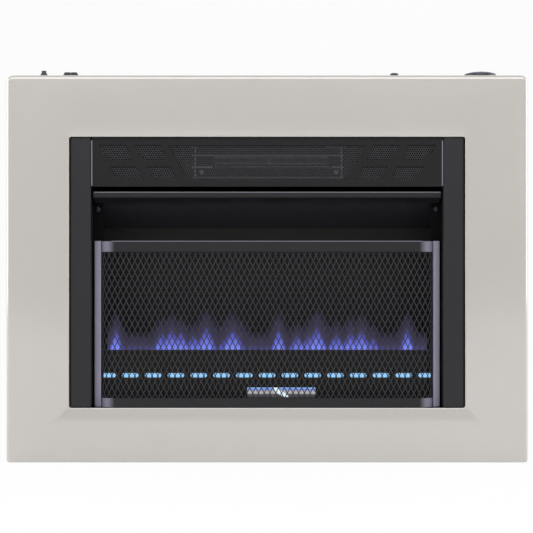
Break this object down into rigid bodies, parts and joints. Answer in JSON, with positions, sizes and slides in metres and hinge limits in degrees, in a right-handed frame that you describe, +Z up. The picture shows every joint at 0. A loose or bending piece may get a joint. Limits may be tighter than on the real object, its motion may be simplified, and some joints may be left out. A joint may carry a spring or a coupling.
{
  "type": "ventless gas heater",
  "caption": "Wall-hung ventless blue-flame gas heater: cream steel case, wire guard over a slotted burner, grille with blower above, and a knob, button and switch on top.",
  "frame": {"origin": "middle of the case at the level of its bottom edge, halfway between the front face and the wall", "axes": "+X to the heater's right as seen from the front, +Y towards the wall, +Z up; the front faces -Y"},
  "size_m": [0.68, 0.215, 0.518],
  "materials": {
    "cream_enamel": "satin cream stove enamel",
    "black_enamel": "satin black heat-proof enamel",
    "dark_steel": "heat-darkened steel",
    "zinc_steel": "bright zinc plate",
    "aluminised_steel": "aluminised steel",
    "brass": "turned brass",
    "chrome": "bright chrome",
    "ceramic": "glazed white ceramic",
    "black_plastic": "satin black plastic",
    "rubber": "matt black rubber",
    "lead_insulation": "red silicone insulation"
  },
  "bodies": {
    "heater": {"front_panel": "cream_enamel", "casing": "cream_enamel", "back_panel": "aluminised_steel", "base_panel": "aluminised_steel", "wall_bracket": "zinc_steel", "left_trim_strip": "black_enamel", "right_trim_strip": "black_enamel", "firebox_left_wall": "dark_steel", "firebox_right_wall": "dark_steel", "firebox_back": "dark_steel", "firebox_floor": "dark_steel", "hood": "black_enamel", "upper_grille": "black_enamel", "grille_screen": "dark_steel", "guard_top_rail": "black_enamel", "guard_bottom_rail": "black_enamel", "guard_left_stile": "black_enamel", "guard_right_stile": "black_enamel", "guard_mesh": "dark_steel", "burner_shield": "dark_steel", "burner_tube": "aluminised_steel", "burner_left_bracket": "zinc_steel", "burner_right_bracket": "zinc_steel", "burner_venturi": "aluminised_steel", "gas_injector": "brass", "pilot_bracket": "zinc_steel", "pilot_burner": "brass", "thermocouple": "aluminised_steel", "spark_electrode": "ceramic", "gas_valve_body": "aluminised_steel", "valve_bracket": "zinc_steel", "valve_spring": "zinc_steel", "knob_well": "black_plastic", "igniter_body": "black_plastic", "igniter_spring": "zinc_steel", "fan_switch_body": "black_plastic", "rocker_pin": "zinc_steel", "indicator_lamp": "black_plastic", "blower_housing": "dark_steel", "rotor_bearing": "brass", "blower_motor": "zinc_steel", "blower_strap": "zinc_steel", "gas_regulator": "aluminised_steel", "inlet_tube": "aluminised_steel", "burner_supply_tube": "aluminised_steel", "pilot_tube": "aluminised_steel", "thermocouple_lead": "brass", "ignition_lead": "lead_insulation", "fan_lead": "rubber", "cord_grommet": "rubber", "left_flange_screw": "zinc_steel", "right_flange_screw": "zinc_steel"},
    "valve_plunger": {"valve_plunger": "brass"},
    "control_knob": {"control_knob": "chrome", "valve_stem": "zinc_steel"},
    "igniter_button": {"igniter_button": "black_plastic"},
    "fan_switch_rocker": {"fan_switch_rocker": "black_plastic"},
    "blower_rotor": {"blower_rotor": "aluminised_steel", "rotor_shaft": "zinc_steel"}
  },
  "joints": [
    {"name": "knob_press", "type": "slide", "parent": "heater", "child": "valve_plunger", "axis": [0, 0, -1], "range_m": [0, 0.005], "stiffness_N_per_m": 600, "springref_m": -0.005, "deforming": ["valve_spring"]},
    {"name": "knob_turn", "type": "hinge", "parent": "valve_plunger", "child": "control_knob", "pos_m": [0.2859, -0.0475, 0.505], "axis": [0, 0, 1], "range_deg": [-240, 0]},
    {"name": "igniter_press", "type": "slide", "parent": "heater", "child": "igniter_button", "axis": [0, 0, -1], "range_m": [0, 0.006], "stiffness_N_per_m": 400, "springref_m": -0.004, "deforming": ["igniter_spring"]},
    {"name": "fan_rocker", "type": "hinge", "parent": "heater", "child": "fan_switch_rocker", "pos_m": [-0.263, -0.0475, 0.5065], "axis": [0, 1, 0], "range_deg": [-10, 10]},
    {"name": "blower_spin", "type": "hinge", "parent": "heater", "child": "blower_rotor", "pos_m": [0.002, -0.074, 0.392], "axis": [1, 0, 0], "continuous": true}
  ]
}
